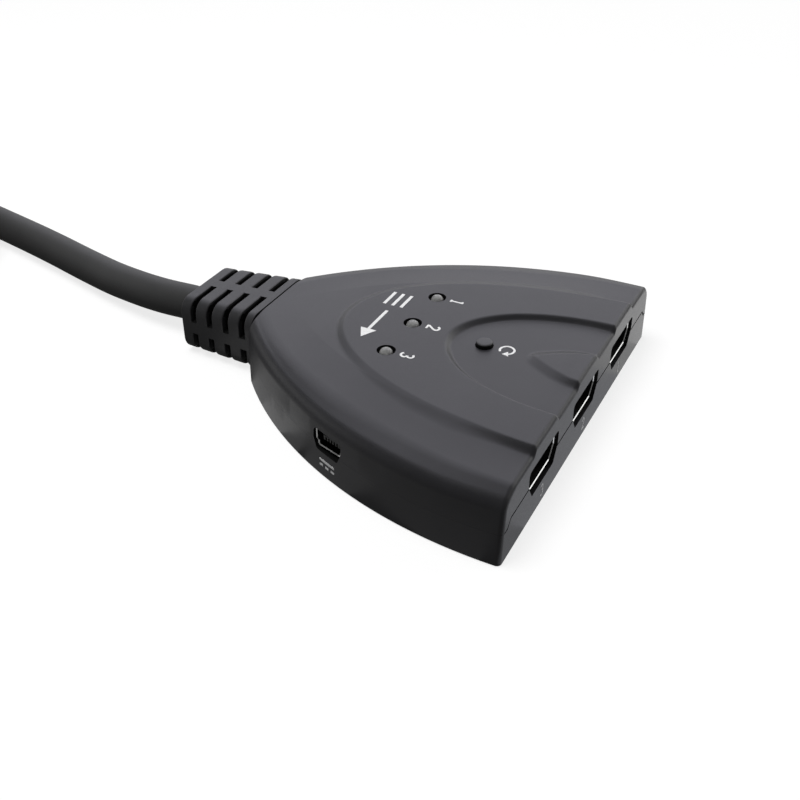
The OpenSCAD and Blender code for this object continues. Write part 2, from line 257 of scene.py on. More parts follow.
def box(name, lo, hi):
    (x0, y0, z0), (x1, y1, z1) = lo, hi
    v = [(x, y, z) for z in (z0, z1) for y in (y0, y1) for x in (x0, x1)]
    f = [(0, 2, 3, 1), (4, 5, 7, 6), (0, 1, 5, 4), (2, 6, 7, 3), (0, 4, 6, 2), (1, 3, 7, 5)]
    return mesh_object(name, v, f)


# ------------------------------------------------------------------ materials


def nodes_of(name):
    mat = bpy.data.materials.new(name)
    mat.use_nodes = True
    nt = mat.node_tree
    return mat, nt, nt.nodes["Principled BSDF"]


def add(nt, kind, **values):
    n = nt.nodes.new(kind)
    for k, v in values.items():
        if k.startswith("in_"):
            n.inputs[k[3:].replace("_", " ")].default_value = v
        else:
            setattr(n, k, v)
    return n


def ramp(nt, fac, stops):
    r = nt.nodes.new("ShaderNodeValToRGB")
    els = r.color_ramp.elements
    while len(els) < len(stops):
        els.new(0.5)
    for e, (pos, col) in zip(els, stops):
        e.position = pos
        e.color = (*col, 1.0)
    nt.links.new(fac, r.inputs["Fac"])
    return r


def noise(nt, coord, scale, detail=3.0, rough=0.5):
    n = add(nt, "ShaderNodeTexNoise", in_Scale=scale, in_Detail=detail, in_Roughness=rough)
    nt.links.new(coord, n.inputs["Vector"])
    return n


def moulded(name, dark, light, rough, spread, grain, depth, mottle=60.0, specular=0.5, coat=0.0):
    """Moulded plastic or rubber: fine spark-eroded grain, and faint variation of tone and gloss."""
    mat, nt, bsdf = nodes_of(name)
    coord = add(nt, "ShaderNodeTexCoord").outputs["Object"]
    fine = noise(nt, coord, grain, 2.0, 0.55)
    broad = noise(nt, coord, mottle, 4.0, 0.6)
    mix = add(nt, "ShaderNodeMath", operation="MULTIPLY_ADD")
    mix.inputs[1].default_value = 0.35
    nt.links.new(fine.outputs["Fac"], mix.inputs[0])
    nt.links.new(broad.outputs["Fac"], mix.inputs[2])
    colour = ramp(nt, mix.outputs[0], [(0.45, dark), (0.9, light)])
    nt.links.new(colour.outputs["Color"], bsdf.inputs["Base Color"])
    gloss = add(nt, "ShaderNodeMapRange")
    gloss.inputs["From Min"].default_value = 0.3
    gloss.inputs["From Max"].default_value = 0.7
    gloss.inputs["To Min"].default_value = rough - spread
    gloss.inputs["To Max"].default_value = rough + spread
    nt.links.new(fine.outputs["Fac"], gloss.inputs["Value"])
    nt.links.new(gloss.outputs["Result"], bsdf.inputs["Roughness"])
    bump = add(nt, "ShaderNodeBump", in_Strength=1.0, in_Distance=depth)
    nt.links.new(fine.outputs["Fac"], bump.inputs["Height"])
    nt.links.new(bump.outputs["Normal"], bsdf.inputs["Normal"])
    bsdf.inputs["Specular IOR Level"].default_value = specular
    if coat:
        bsdf.inputs["Coat Weight"].default_value = coat
        bsdf.inputs["Coat Roughness"].default_value = 0.25
    return mat


def plated(name, dark, light, rough, spread, scale, depth, stretch=(1.0, 1.0, 1.0)):
    """Plated or drawn sheet metal: fine drawing lines and faint stains."""
    mat, nt, bsdf = nodes_of(name)
    coord = add(nt, "ShaderNodeTexCoord").outputs["Object"]
    place = add(nt, "ShaderNodeMapping")
    place.inputs["Scale"].default_value = stretch
    nt.links.new(coord, place.inputs["Vector"])
    fine = noise(nt, place.outputs["Vector"], scale, 3.0, 0.6)
    broad = noise(nt, coord, 320.0, 3.0, 0.5)
    colour = ramp(nt, broad.outputs["Fac"], [(0.3, dark), (0.7, light)])
    nt.links.new(colour.outputs["Color"], bsdf.inputs["Base Color"])
    gloss = add(nt, "ShaderNodeMapRange")
    gloss.inputs["To Min"].default_value = rough - spread
    gloss.inputs["To Max"].default_value = rough + spread
    nt.links.new(fine.outputs["Fac"], gloss.inputs["Value"])
    nt.links.new(gloss.outputs["Result"], bsdf.inputs["Roughness"])
    bump = add(nt, "ShaderNodeBump", in_Strength=0.6, in_Distance=depth)
    nt.links.new(fine.outputs["Fac"], bump.inputs["Height"])
    nt.links.new(bump.outputs["Normal"], bsdf.inputs["Normal"])
    bsdf.inputs["Metallic"].default_value = 1.0
    return mat


def laminate(name):
    """Solder mask over copper tracks on a glass-fibre board."""
    mat, nt, bsdf = nodes_of(name)
    coord = add(nt, "ShaderNodeTexCoord").outputs["Object"]
    tracks = add(nt, "ShaderNodeTexBrick", in_Scale=90.0)
    tracks.inputs["Mortar Size"].default_value = 0.03
    tracks.inputs["Color1"].default_value = (0.012, 0.11, 0.045, 1)
    tracks.inputs["Color2"].default_value = (0.015, 0.13, 0.055, 1)
    tracks.inputs["Mortar"].default_value = (0.03, 0.2, 0.08, 1)
    nt.links.new(coord, tracks.inputs["Vector"])
    nt.links.new(tracks.outputs["Color"], bsdf.inputs["Base Color"])
    weave = noise(nt, coord, 1500.0)
    bump = add(nt, "ShaderNodeBump", in_Strength=0.4, in_Distance=2e-5)
    nt.links.new(weave.outputs["Fac"], bump.inputs["Height"])
    nt.links.new(bump.outputs["Normal"], bsdf.inputs["Normal"])
    bsdf.inputs["Roughness"].default_value = 0.3
    return mat


def resin(name):
    """Diffused resin of an indicator, cloudy inside."""
    mat, nt, bsdf = nodes_of(name)
    coord = add(nt, "ShaderNodeTexCoord").outputs["Object"]
    cloud = noise(nt, coord, 900.0, 3.0, 0.6)
    colour = ramp(nt, cloud.outputs["Fac"], [(0.3, (0.17, 0.17, 0.17)), (0.7, (0.30, 0.30, 0.295))])
    nt.links.new(colour.outputs["Color"], bsdf.inputs["Base Color"])
    bsdf.inputs["Roughness"].default_value = 0.32
    bsdf.inputs["Subsurface Weight"].default_value = 0.3
    bsdf.inputs["Subsurface Radius"].default_value = (0.001, 0.001, 0.001)
    bsdf.inputs["Subsurface Scale"].default_value = 0.3
    return mat


def woven(name):
    """Hook-and-loop strip: close loops over a woven backing."""
    mat, nt, bsdf = nodes_of(name)
    coord = add(nt, "ShaderNodeTexCoord").outputs["Object"]
    cells = add(nt, "ShaderNodeTexVoronoi", in_Scale=1800.0)
    nt.links.new(coord, cells.inputs["Vector"])
    colour = ramp(nt, cells.outputs["Distance"], [(0.0, (0.045, 0.045, 0.047)), (0.6, (0.012, 0.012, 0.013))])
    nt.links.new(colour.outputs["Color"], bsdf.inputs["Base Color"])
    bump = add(nt, "ShaderNodeBump", in_Strength=1.0, in_Distance=2e-4, invert=True)
    nt.links.new(cells.outputs["Distance"], bump.inputs["Height"])
    nt.links.new(bump.outputs["Normal"], bsdf.inputs["Normal"])
    bsdf.inputs["Roughness"].default_value = 0.9
    bsdf.inputs["Sheen Weight"].default_value = 0.3
    return mat


MAT = {
    "case": moulded("case_plastic", (0.0142, 0.0140, 0.0158), (0.0194, 0.0191, 0.0215), 0.42, 0.05, 5200.0, 1.0e-5),
    # the case's plastic made lighter for the button: a painted highlight on the cap's top
    "button": moulded("button_plastic", (0.028, 0.028, 0.030), (0.036, 0.036, 0.038), 0.42, 0.05, 5200.0, 0.8e-5),
    # near-black painted shade for the walls of holes, slots, grooves and gaps between parts
    "recess": moulded("recess_plastic", (0.004, 0.004, 0.004), (0.007, 0.007, 0.007), 0.55, 0.05, 5200.0, 0.8e-5, specular=0.12),
    "boot": moulded("boot_rubber", (0.017, 0.017, 0.0185), (0.025, 0.025, 0.0265), 0.47, 0.06, 4200.0, 1.8e-5),
    "cable": moulded("cable_jacket", (0.034, 0.034, 0.034), (0.044, 0.044, 0.044), 0.62, 0.05, 3000.0, 1.2e-5),
    "plug": moulded("plug_plastic", (0.034, 0.034, 0.036), (0.046, 0.046, 0.048), 0.52, 0.06, 4600.0, 1.6e-5),
    "black": moulded("socket_plastic", (0.004, 0.004, 0.004), (0.008, 0.008, 0.008), 0.5, 0.06, 3000.0, 0.8e-5, specular=0.2),
    "tongue": moulded("tongue_plastic", (0.05, 0.05, 0.05), (0.085, 0.085, 0.082), 0.45, 0.06, 3000.0, 0.8e-5),
    "chip": moulded("chip_epoxy", (0.012, 0.012, 0.012), (0.022, 0.022, 0.022), 0.55, 0.05, 6000.0, 1.0e-5),
    "ceramic": moulded("ceramic", (0.30, 0.22, 0.15), (0.46, 0.36, 0.26), 0.5, 0.06, 4000.0, 0.8e-5, 900.0),
    "wire": moulded("wire_insulation", (0.42, 0.04, 0.03), (0.56, 0.08, 0.06), 0.35, 0.05, 2500.0, 0.6e-5),
    "print": moulded("print_ink", (0.72, 0.72, 0.72), (0.88, 0.88, 0.88), 0.6, 0.08, 6000.0, 0.4e-5, 2500.0),
    "nickel": plated("socket_metal", (0.60, 0.60, 0.59), (0.80, 0.80, 0.79), 0.28, 0.08, 2600.0, 0.5e-5, (1.0, 0.12, 1.0)),
    # darkened copy of the socket metal: painted shade inside the shells
    "shade": plated("shell_inside_painted_shade", (0.030, 0.029, 0.028), (0.055, 0.052, 0.050), 0.42, 0.08, 2600.0, 0.5e-5, (1.0, 0.12, 1.0)),
    "tin": plated("tinned_metal", (0.66, 0.66, 0.65), (0.80, 0.80, 0.79), 0.3, 0.1, 2400.0, 0.6e-5),
    "gold": plated("contact_gold", (0.72, 0.52, 0.20), (0.86, 0.68, 0.34), 0.25, 0.08, 3200.0, 0.3e-5, (1.0, 0.15, 1.0)),
    "steel": plated("screw_steel", (0.45, 0.45, 0.46), (0.62, 0.62, 0.63), 0.36, 0.1, 2000.0, 0.8e-5),
    "board": laminate("board_laminate"),
    "resin": resin("led_lens"),
    "tie": woven("tie_fabric"),
}


def piece(obj, mat, body="case", replaces=()):
    obj.data.materials.clear()
    obj.data.materials.append(MAT[mat])
    obj.data.polygons.foreach_set("material_index", [0] * len(obj.data.polygons))
    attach(obj, body)
    if replaces:
        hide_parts(*replaces)
    return obj


def paint(obj, mat, test):
    """A second material on the faces that a test of centre and normal picks, in millimetres from the front face."""
    me = obj.data
    me.materials.append(MAT[mat])
    last = len(me.materials) - 1
    for p in me.polygons:
        c = np.array(p.center) / MM - (0.0, FRONT, 0.0)
        if test(c, np.array(p.normal)):
            p.material_index = last
    return obj


# ------------------------------------------------------------------ lead

ROUTE_OUT = [(0, 48, 6.8), (0, 53, 6.8), (0.2, 60, 6.4), (0.9, 66, 6), (2.1, 72, 5.5), (3.7, 79, 5), (5.3, 85, 4.7),
             (7.8, 94, 4.4), (10.4, 104, 4.4), (12.8, 114, 4.4), (15, 124, 4.4), (17, 134, 4.5), (19, 144, 4.75),
             (20.6, 152.5, 5), (21.9, 160, 5.15)]
ROUTE_IN = [(-69.4, 168, 13.85), (-69.4, 160, 13.85), (-69.4, 152, 13.5), (-69.4, 144, 11.8), (-69.4, 136, 9),
            (-69.4, 129, 7), (-69.4, 123, 6.2), (-69.4, 118, 6.2)]
COIL_C, COIL_R = (-23.4, 168.0), 46.0
CABLE_D = 8.7


def coil_points():
    pts = []
    for k in range(1, 88):
        th = -10.0 + 550.0 * k / 88
        t = min(1.0, max(0.0, (th - 260.0) / 78.0))
        z = 5.15 + 8.7 * t * t * (3 - 2 * t)
        a = math.radians(th)
        pts.append((COIL_C[0] + COIL_R * math.cos(a), COIL_C[1] + COIL_R * math.sin(a), z))
    return pts


def through(points, step):
    """Points a step apart on a smooth curve through the given ones."""
    p = np.array(points, float)
    p = np.vstack([2 * p[0] - p[1], p, 2 * p[-1] - p[-2]])
    out = []
    for i in range(1, len(p) - 2):
        p0, p1, p2, p3 = p[i - 1], p[i], p[i + 1], p[i + 2]
        n = max(1, int(round(np.linalg.norm(p2 - p1) / step)))
        for k in range(n):
            t = k / n
            out.append(0.5 * (2 * p1 + (p2 - p0) * t + (2 * p0 - 5 * p1 + 4 * p2 - p3) * t * t
                              + (3 * p1 - p0 - 3 * p2 + p3) * t ** 3))
    out.append(p[-2])
    return np.array(out)


def tube_rings(path, radius, sides):
    path = np.asarray(path, float)
    tang = np.gradient(path, axis=0)
    tang /= np.linalg.norm(tang, axis=1)[:, None]
    u = np.cross([0, 0, 1.0], tang[0])
    u /= np.linalg.norm(u)
    rings = []
    for p, t in zip(path, tang):
        u = u - t * (u @ t)
        u /= np.linalg.norm(u)
        v = np.cross(t, u)
        a = np.linspace(0, 2 * math.pi, sides, endpoint=False)[:, None]
        rings.append(p + radius * (np.cos(a) * u + np.sin(a) * v))
    return rings


lead_path = through(ROUTE_OUT + coil_points() + ROUTE_IN, 2.0)
cable = loft("lead", tube_rings(lead_path, CABLE_D / 2, 40))
finish_mesh(cable)
piece(cable, "cable", replaces=("cable_run", "cable_coil", "cable_tail"))

# ------------------------------------------------------------------ case

R, CX, AY = 102.0, 55.9, 0.85
LEN, CORNER, EDGE, BACK_EDGE, FOOT = 74.8, 1.0, 1.05, 0.28, 0.12
TOP, BAND, INNER, NOSE = 15.2, 1.8, -1.2, 1.15
FILLET, DRAFT, CEIL = 3.2, 0.4, 13.0


def half_width(r, y):
    return math.sqrt(r * r - (y - AY) ** 2) - CX


def ease(t):
    t = np.clip(t, 0.0, 1.0)
    return t * t * (3 - 2 * t)


def inside(x, y, a, b):
    """Distance inside a half ellipse that stands on the front edge."""
    e = np.sqrt((x / a) ** 2 + (y / b) ** 2)
    g = np.sqrt((x / a ** 2) ** 2 + (y / b ** 2) ** 2) / np.maximum(e, 1e-6)
    return (1 - e) / np.maximum(g, 1e-6)


def bend(s, r):
    """0 below a corner at 0 and s above it, with the corner rounded over r each way."""
    return np.where(s < -r, 0.0, np.where(s > r, s, (s + r) ** 2 / (4 * r)))


def wall(d, width, crest, foot):
    """1 on a raised area, then a straight slope down to 0, a width outside its edge, with a rounded crest and foot."""
    return 1 - (bend(-d, crest) - bend(-d - width, foot)) / width


def nose_inside(x, y):
    """Distance inside the pointed nose."""
    t = np.clip(y / 12.2, 0.0, None)
    return (5.6 * (1 - t ** 1.5) - np.abs(x)) / np.sqrt(1 + 0.444 * t)


def table(y, *pairs):
    return np.interp(y, [k for k, v in pairs], [v for k, v in pairs])


def relief(x, y, base=TOP, u=None):
    """Height of the top over the standing surface. u is how far inside the side's round a point is."""
    x = np.asarray(x, float)
    y = np.asarray(y, float) + 0 * x
    if u is None:
        u = half_width(R - DRAFT - FILLET, float(np.mean(y))) - np.abs(x)
    swell = table(y, (0, 0.15), (3, 0.35), (8, 0.6), (16, 0.8), (40, 0.8), (48, 0.65), (56, 0.45), (65, 0.15), (73, 0.0))
    low = base + swell * ease(np.clip((u - 1.5) / 12.0, 0, 1) * 0.5) * 2
    high = TOP + BAND
    inset = table(y, (0, 0.0), (7, 0.35), (15, 0.7), (56, 0.8))
    w = table(y, (0, 1.2), (2, 1.5), (7, 1.6), (17, 2.4), (30, 2.4), (43, 1.8), (56, 1.8))
    foot = table(y, (0, 0.4), (7, 0.7), (17, 1.3), (30, 1.0), (43, 0.5), (56, 0.5))
    top = low + (high - low) * wall(inside(x, y, 30.0, 56.2) - inset, w, 0.22, foot)
    w = 0.95 + 0.5 * ease((y - 20.0) / 12.0)
    top = top - (1.2 - 0.15 * ease(y / 6.0)) * (1 - wall(-inside(x, y, 19.2, 32.3) + w / 2, w, 0.35, 0.35))
    rise = table(y, (0, NOSE), (3, 0.92), (6.5, 0.78), (11.0, 0.68), (12.2, 0.55), (13.6, 0.0))
    return top + rise * wall(nose_inside(x, y), table(y, (0, 1.2), (3, 1.8), (6.5, 2.1), (12, 2.1)), 0.25, 0.5)


def crown(y):
    """How the top falls towards a side: tilt at the side's round, width of the even slope, and width to the flat."""
    tilt = math.radians(float(np.interp(y, (0, 25, 42, 58, 74.8), (20.5, 15.2, 19.0, 19.0, 11.0))))
    even = float(np.interp(y, (0, 25, 42, 58, 74.8), (1.5, 2.0, 1.2, 1.0, 0.6)))
    return tilt, even, float(np.interp(y, (0, 25, 42, 58, 74.8), (3.1, 4.4, 5.0, 4.4, 4.2)))


def crowned(u, y):
    """Height of the top, u inside the side's round."""
    tilt, even, width = crown(y)
    slope = np.where(u < even, u, (even + width) / 2 - np.clip(width - u, 0, None) ** 2 / (2 * (width - even)))
    return 11.59 + FILLET * math.cos(tilt) + math.tan(tilt) * slope


def quarter(y, r):
    """How far an edge of radius r has fallen away, y from its end."""
    return 0.0 if y >= r else r - math.sqrt(max(0.0, r * r - (r - y) ** 2))


def case_rows():
    rows = set()
    for k in range(10):
        rows.add(round(EDGE * (1 - math.cos(math.pi / 2 * k / 9)), 4))
        rows.add(round(CORNER * (1 - math.cos(math.pi / 2 * k / 9)), 4))
    rows = sorted(rows)
    keep = [rows[0]]
    for y in rows[1:]:
        if y - keep[-1] > 0.012:
            keep.append(y)
    y = keep[-1]
    while y < 59.0:
        y += 0.27
        keep.append(y)
    while y < LEN - BACK_EDGE - 0.5:
        y += 0.5
        keep.append(y)
    keep += [LEN - BACK_EDGE * math.sin(math.pi / 2 * (1 - k / 7)) if k else LEN - BACK_EDGE for k in range(7)]
    keep += [LEN]
    return [v for i, v in enumerate(sorted(set(keep))) if v <= LEN]


def side_section(y):
    """Section of a curved side: offset from the side's radius and height, from the underside up."""
    tilt = crown(y)[0]
    pts = [(-FOOT + FOOT * math.sin(a), FOOT - FOOT * math.cos(a)) for a in np.linspace(0, math.pi / 2, 4)]
    pts += [(-0.05, 2.4), (-0.1, 4.8), (-0.15, 7.1), (-0.24, 9.0), (-0.33, 10.4)]
    pts += [(-DRAFT - FILLET + FILLET * math.cos(a), 11.59 + FILLET * math.sin(a)) for a in np.linspace(0, math.pi / 2 - tilt, 17)]
    return pts


def case_solid(name):
    cols = np.linspace(-1, 1, 361)[1:-1]
    rings = []
    for y in case_rows():
        shift = quarter(y, CORNER) + quarter(LEN - y, BACK_EDGE)
        fall = quarter(y, EDGE) + quarter(LEN - y, BACK_EDGE)
        left, right = [], []
        lean = 0.55 * (1 - ease(y / 16.0))
        for d, z in side_section(y):
            x = half_width(R + d - lean * min(1.0, z / 11.6), y) - shift
            w = min(1.0, max(0.0, (z - 10.0) / 4.7))
            z2 = z - fall * w * w * (3 - 2 * w)
            left.append((-x, y, z2))
            right.append((x, y, z2))
        xf = right[-1][0]
        x = cols * xf
        top = np.column_stack([x, np.full(len(x), y), relief(x, y, crowned(xf - np.abs(x), y), xf - np.abs(x)) - fall])
        xb = right[0][0]
        under = [(xb * s, y, right[0][2]) for s in (0.8, 0.5, 0.2, -0.2, -0.5, -0.8)]
        rings.append(np.vstack([left, top, right[::-1], under]))
    return loft(name, [at_front(r) for r in rings])


def fan_prism(name, r, y0, y1, z0, z1, rows=60):
    rings = []
    for y in np.linspace(y0, y1, rows):
        x = half_width(r, y)
        rings.append(at_front([(-x, y, z0), (-x, y, z1), (x, y, z1), (x, y, z0)]))
    return loft(name, rings)


SEAM, SEAM_FRONT, WALL = 7.1, 8.7, 1.9


def lower_zone(name, up):
    """Everything under the parting line, which steps up across the front."""
    a, b = SEAM + up, SEAM_FRONT + up
    front = prism(name + "_front", [(-60, -5), (60, -5), (60, a), (43.3 + 0.41 * up, a), (41.7 + 0.41 * up, b), (-41.7 - 0.41 * up, b), (-43.3 - 0.41 * up, a), (-60, a)], -5, WALL)
    return boolean(front, box(name + "_rest", at_front((-60, WALL - 1, -5)), at_front((60, LEN + 5, a))), "UNION")


def power_place(p):
    """From the side cut-out's own frame (y into the case) to the part's."""
    p = np.asarray(p, float)
    ang = -math.asin((41.1 - AY) / R)
    x, y = -R + p[..., 1], -p[..., 0]
    out = np.empty_like(p)
    out[..., 0] = CX + x * math.cos(ang) - y * math.sin(ang)
    out[..., 1] = AY + x * math.sin(ang) + y * math.cos(ang) + FRONT
    out[..., 2] = p[..., 2] + 8.7
    return out


def in_power(p):
    """The same for the side socket, which is turned a little in its cut-out."""
    p = np.array(p, float)
    a = math.radians(5.0)
    x, y = p[..., 0].copy(), p[..., 1] - 0.9
    p[..., 0] = x * math.cos(a) - y * math.sin(a)
    p[..., 1] = x * math.sin(a) + y * math.cos(a) + 0.9
    return power_place(p)


PORT_X, PORT_Z = (24.8, 0.0, -24.8), 9.06
BOSSES = [(-38, 9.5), (38, 9.5), (-17.5, 62), (17.5, 62)]
LEDS = [(-12.7, 40.45), (0.0, 40.45), (12.7, 40.45)]
BUTTON = (0.0, 23.35)


def port_place(x0):
    def place(p):
        p = at_front(p)
        p[..., 0] += x0
        p[..., 2] += PORT_Z
        return p
    return place


def wall_cutters(name):
    cut = fillet([(-8.12, 3.4), (-8.12, -0.05), (-5.9, -3.6), (5.7, -3.6), (7.75, -0.05), (7.75, 3.4)], (1.0, 0.5, 0.6, 0.6, 0.5, 1.0))
    parts = [prism(f"{name}_port{i}", cut, -2, WALL + 1.2, port_place(x)) for i, x in enumerate(PORT_X)]
    power = fillet(dee(4.42, 2.05, -2.8, -0.4, 3.35), (1.4, 0.5, 0.6, 0.6, 0.5, 0.7))
    parts.append(prism(name + "_power", power, -3, WALL + 2.5, power_place))
    parts.append(box(name + "_neck", at_front((-8.1, LEN - 3, 2.1)), at_front((8.1, LEN + 1, 11.5))))
    return parts


whole = case_solid("case_whole")
cavity = fan_prism("cavity", R - 0.7 - WALL, WALL, LEN - 2, 1.8, CEIL)
boolean(whole, cavity, "DIFFERENCE")
zone = lower_zone("zone", 0.0)
core = fan_prism("seam_core", R - 1.5, 0.9, LEN - 0.9, -8, 30, 40)
rim = boolean(box("seam_rim", at_front((-70, -8, -6)), at_front((70, LEN + 8, 26))), core, "DIFFERENCE")

GAP, SIDE_GAP = 0.2, 0.012
upper = copy_of(whole, "top_shell")
boolean(upper, zone, "DIFFERENCE", keep=True)
lower = whole
lower.name = "bottom_shell"
boolean(lower, zone, "INTERSECT")
ahead = box("seam_ahead", at_front((-44.6, -8, -6)), at_front((44.6, 1.6, 26)))
for gap, within in ((GAP, ahead), (SIDE_GAP, rim)):
    part = boolean(copy_of(rim, "seam_part"), copy_of(within, "seam_within"), "INTERSECT") if within is ahead else copy_of(rim, "seam_part")
    boolean(upper, boolean(lower_zone("zone_up", gap), part, "INTERSECT", keep=True), "DIFFERENCE")
    boolean(part, lower_zone("zone_down", -gap), "DIFFERENCE")
    boolean(lower, part, "DIFFERENCE")
drop(ahead)
drop(rim)

posts = join_meshes("posts", [cylinder(f"post{i}", at_front((*b, 0))[:2], 2.8, 5.9, CEIL + 0.5, 48) for i, b in enumerate(BOSSES)])
boolean(upper, posts, "UNION")
cutters = wall_cutters("upper_cut")
cutters += [cylinder(f"pilot{i}", at_front((*b, 0))[:2], 1.05, 4.9, 11.9, 32) for i, b in enumerate(BOSSES)]
cutters += [cylinder(f"ledhole{i}", at_front((*p, 0))[:2], 2.05, CEIL - 1, 22, 72) for i, p in enumerate(LEDS)]
cutters += [cylinder("buttonhole", at_front((*BUTTON, 0))[:2], 2.0, CEIL - 1, 22, 72)]
boolean(upper, join_meshes("upper_cutters", cutters), "DIFFERENCE")

feet = join_meshes("standoffs", [cylinder(f"stand{i}", at_front((*b, 0))[:2], 2.8, 1.2, 4.3, 48) for i, b in enumerate(BOSSES)])
boolean(lower, feet, "UNION")
cutters = wall_cutters("lower_cut")
for i, b in enumerate(BOSSES):
    v, f = lathe([(0, -1), (2.4, -1), (2.4, 1.8), (1.3, 1.8), (1.3, 8), (0, 8)], at_front((*b, 0))[:2], 48)
    cutters.append(mesh_object(f"counterbore{i}", v, f))
boolean(lower, join_meshes("lower_cutters", cutters), "DIFFERENCE")

finish_mesh(upper)
finish_mesh(lower)
piece(upper, "case", replaces=("top_cover",))
piece(lower, "case", replaces=("bottom_cover",))


def in_opening(c, n):
    """Faces of the walls of a cut-out or hole, of the parting groove and of the rear face behind the boot; these get
    painted shade.
    """
    if 0.05 < c[1] < 3.2 and abs(c[2] - PORT_Z) < 3.7 and min(abs(c[0] - x) for x in PORT_X) < 8.3:
        return True
    if c[2] > CEIL - 2 and any(math.hypot(c[0] - p[0], c[1] - p[1]) < 2.08 and abs(n[2]) < 0.5 for p in LEDS + [BUTTON]):
        return True
    if c[1] > LEN - 0.1 and n[1] > 0.9 and abs(c[0]) < 11.7:
        return True
    if c[1] < 1.6 and 6.9 < c[2] < 8.95 and abs(n[1]) < 0.6 and abs(c[0]) < 45.4 and (abs(n[2]) > 0.5 or 41 < abs(c[0]) < 44):
        return True
    q = np.array([c[0] - CX, c[1] - AY])
    a = math.degrees(math.atan2(q[1], -q[0])) - math.degrees(math.asin((41.1 - AY) / R))
    return c[0] < 0 and abs(a) < 2.7 and np.hypot(*q) < R - 0.3 and abs(c[2] - 8.4) < 2.7 and abs(n[:2] @ q) < 0.8 * np.hypot(*q)


# painted shade: near-black on the walls of cut-outs and holes, in the parting groove and behind the boot
for obj in (upper, lower):
    paint(obj, "recess", in_opening)

# ------------------------------------------------------------------ boot


def boot_ring(y, w, z0, z1, r, cut, wi=5.3, ri=1.2):
    """Section of the boot. cut is how deep its slots are here, from 0 to 1, and below 0.2 only rounds their edges."""
    zc = 7.3

    def half_outline(w, zt, r, sign):
        fixed = [0.0, 0.8, 1.3, 1.52, 1.6, 1.95]
        pts = [(x, zt) for x in fixed]
        pts += [(1.95 + (w - r - 1.95) * k / 6, zt) for k in range(1, 7)]
        zc_r = zt - sign * r
        pts += [(w - r + r * math.sin(a), zc_r + sign * r * math.cos(a)) for a in np.linspace(0, math.pi / 2, 11)[1:]]
        stop = zc + sign * 1.85
        pts += [(w, zc_r + (stop - zc_r) * k / 5) for k in range(1, 6)]
        pts += [(w, zc + sign * h) for h in (1.55, 1.45, 1.2, 0.7)]
        return pts

    def mask(n):
        m = np.ones(n)
        m[:4] = 0.0
        m[-3:] = 0.0
        return m

    def quarter_pts(sign, zt):
        o = np.array(half_outline(w, zt, r, sign))
        i = np.array(half_outline(wi, zc + (4.3 if sign > 0 else -5.3), ri, sign))
        return o + (i - o) * (mask(len(o)) * cut)[:, None]

    top, low = quarter_pts(1, z1), quarter_pts(-1, z0)
    right = np.vstack([top, [(w, zc)], low[::-1]])
    left = right[::-1][1:-1] * np.array([-1, 1])
    out = np.vstack([right, left])
    return at_front(np.column_stack([out[:, 0], np.full(len(out), y), out[:, 1]]))


SLOTS = [LEN + 2.7 + 4.7 * i for i in range(4)]


def boot_span(y):
    """Half width, bottom and top of the boot."""
    t = (y - LEN) / 21.2
    return 11.8 - 1.4 * t, 0.4 - 0.05 * t, 14.9 - 1.1 * t


def boot_solid():
    y0, y1 = LEN + 0.55, LEN + 21.2
    rows = []

    def outer(y, inset=0.0, cut=0.0):
        w, z0, z1 = boot_span(y)
        rows.append(boot_ring(y, w - inset, z0 + inset, z1 - inset, 3.3 - 0.5 * inset, cut))

    for k in range(6):
        a = math.pi / 2 * k / 5
        outer(y0 + 0.15 * (1 - math.cos(a)), 0.15 * (1 - math.sin(a)))
    for s in SLOTS:
        e = s + 1.5
        for dy, c in ((0.4, 0.0), (0.2, 0.009), (0.08, 0.026), (0.02, 0.05), (0.0, 0.075)):
            outer(s - dy, 0.0, c)
        outer(s + 0.012, 0.0, 0.24)
        outer(s + 0.03, 0.0, 0.93)
        outer(s + 0.2, 0.0, 1.0)
        outer((s + e) / 2, 0.0, 1.0)
        outer(e - 0.2, 0.0, 1.0)
        outer(e - 0.03, 0.0, 0.93)
        outer(e - 0.012, 0.0, 0.24)
        for dy, c in ((0.0, 0.075), (0.02, 0.05), (0.08, 0.026), (0.2, 0.009), (0.4, 0.0)):
            outer(e + dy, 0.0, c)
    for k in range(7):
        a = math.pi / 2 * k / 6
        outer(y1 - 0.5 + 0.5 * math.sin(a), 0.5 * (1 - math.cos(a)))
    return loft("boot", rows)


def in_slot(c, n):
    """Faces deep in the boot's slots, and its front face in the gap to the case; these get painted shade."""
    w, z0, z1 = boot_span(c[1])
    if c[1] < LEN + 0.5 and n[1] < -0.8:
        return True
    deep = abs(c[0]) < w - 1.3 and z0 + 0.8 < c[2] < z1 - 0.8
    return deep and any(s - 0.02 < c[1] < s + 1.52 for s in SLOTS)


boot = boot_solid()
boolean(boot, box("boot_neck", at_front((-8, LEN - 2.2, 2.2)), at_front((8, LEN + 1.5, 11.4))), "UNION")
boolean(boot, box("boot_flange", at_front((-10, LEN - 4.3, 2.2)), at_front((10, LEN - 2.1, 11.4))), "UNION")
bore_rings = [[(4.37 * math.cos(a), y + FRONT, 6.8 + 4.37 * math.sin(a)) for a in np.linspace(0, 2 * math.pi, 64, endpoint=False)]
              for y in (LEN - 8, LEN + 30)]
boolean(boot, loft("bore", bore_rings), "DIFFERENCE")
finish_mesh(boot, 38)
piece(boot, "boot", replaces=("strain_relief_boot",))
# painted shade deep in the boot's slots and on its face hidden in the gap to the case
paint(boot, "recess", in_slot)

# ------------------------------------------------------------------ controls

